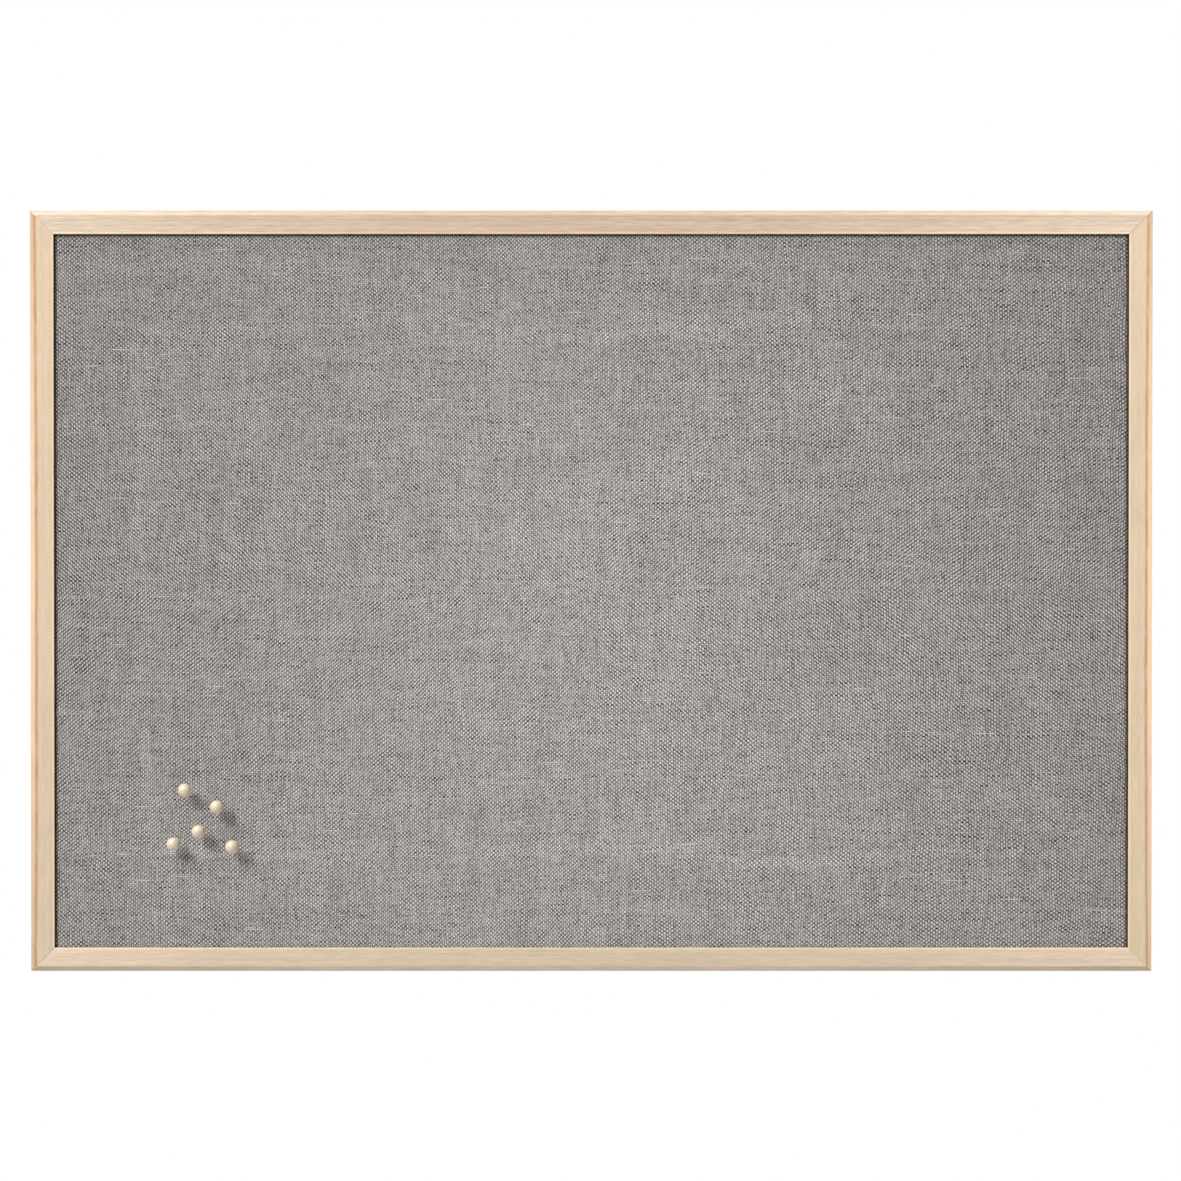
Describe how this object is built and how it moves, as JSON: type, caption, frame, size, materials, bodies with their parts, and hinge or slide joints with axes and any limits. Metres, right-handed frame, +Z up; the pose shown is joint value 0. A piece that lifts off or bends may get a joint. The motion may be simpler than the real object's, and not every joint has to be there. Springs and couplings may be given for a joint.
{
  "type": "linen pinboard",
  "caption": "Wall pinboard: a mitred wooden frame round a linen-covered soft board, with ball pins that pull out and swinging D-ring hangers on the back.",
  "frame": {"origin": "the middle of the board in the plane of the wall, which is the back of the frame", "axes": "+X along the board to the viewer's right, +Y into the wall, so the linen faces -Y, and +Z up"},
  "size_m": [0.6, 0.0293, 0.407],
  "materials": {
    "frame_pine": "plain sanded pine, clear matt",
    "linen": "grey plain-weave linen",
    "soft_fibreboard": "raw soft fibreboard",
    "hardboard": "smooth brown hardboard",
    "pin_wood": "turned pale wood, matt",
    "needle_steel": "bright drawn steel",
    "nail_steel": "plain steel",
    "tab_steel": "blued spring steel",
    "hanger_nickel": "nickel plated"
  },
  "bodies": {
    "board": {"top_rail": "frame_pine", "bottom_rail": "frame_pine", "left_stile": "frame_pine", "right_stile": "frame_pine", "v_nail_top_left": "nail_steel", "v_nail_top_right": "nail_steel", "v_nail_bottom_left": "nail_steel", "v_nail_bottom_right": "nail_steel", "retaining_tab_top_1": "tab_steel", "retaining_tab_top_2": "tab_steel", "retaining_tab_top_3": "tab_steel", "retaining_tab_bottom_1": "tab_steel", "retaining_tab_bottom_2": "tab_steel", "retaining_tab_bottom_3": "tab_steel", "retaining_tab_left_1": "tab_steel", "retaining_tab_left_2": "tab_steel", "retaining_tab_right_1": "tab_steel", "retaining_tab_right_2": "tab_steel", "linen_cover": "linen", "core_board": "soft_fibreboard", "back_board": "hardboard", "left_hanger_strap": "hanger_nickel", "left_hanger_rivet": "hanger_nickel", "right_hanger_strap": "hanger_nickel", "right_hanger_rivet": "hanger_nickel"},
    "left_ring": {"left_hanger_ring": "hanger_nickel"},
    "right_ring": {"right_hanger_ring": "hanger_nickel"},
    "pin_1": {"pin_1_head": "pin_wood", "pin_1_needle": "needle_steel"},
    "pin_2": {"pin_2_head": "pin_wood", "pin_2_needle": "needle_steel"},
    "pin_3": {"pin_3_head": "pin_wood", "pin_3_needle": "needle_steel"},
    "pin_4": {"pin_4_head": "pin_wood", "pin_4_needle": "needle_steel"},
    "pin_5": {"pin_5_head": "pin_wood", "pin_5_needle": "needle_steel"}
  },
  "joints": [
    {"name": "left_ring_swing", "type": "hinge", "parent": "board", "child": "left_ring", "pos_m": [-0.18, -0.002, 0.1504], "axis": [1, 0, 0], "range_deg": [0, 180]},
    {"name": "right_ring_swing", "type": "hinge", "parent": "board", "child": "right_ring", "pos_m": [0.18, -0.002, 0.1504], "axis": [1, 0, 0], "range_deg": [0, 180]},
    {"name": "pin_1_pull", "type": "slide", "parent": "board", "child": "pin_1", "axis": [0.0262, -0.9983, 0.0523], "range_m": [0, 0.03]},
    {"name": "pin_2_pull", "type": "slide", "parent": "board", "child": "pin_2", "axis": [-0.0523, -0.998, 0.0349], "range_m": [0, 0.03]},
    {"name": "pin_3_pull", "type": "slide", "parent": "board", "child": "pin_3", "axis": [0.0436, -0.9989, 0.0174], "range_m": [0, 0.03]},
    {"name": "pin_4_pull", "type": "slide", "parent": "board", "child": "pin_4", "axis": [-0.0349, -0.9449, 0.3254], "range_m": [0, 0.03]},
    {"name": "pin_5_pull", "type": "slide", "parent": "board", "child": "pin_5", "axis": [0.0175, -0.9974, 0.0698], "range_m": [0, 0.03]}
  ]
}
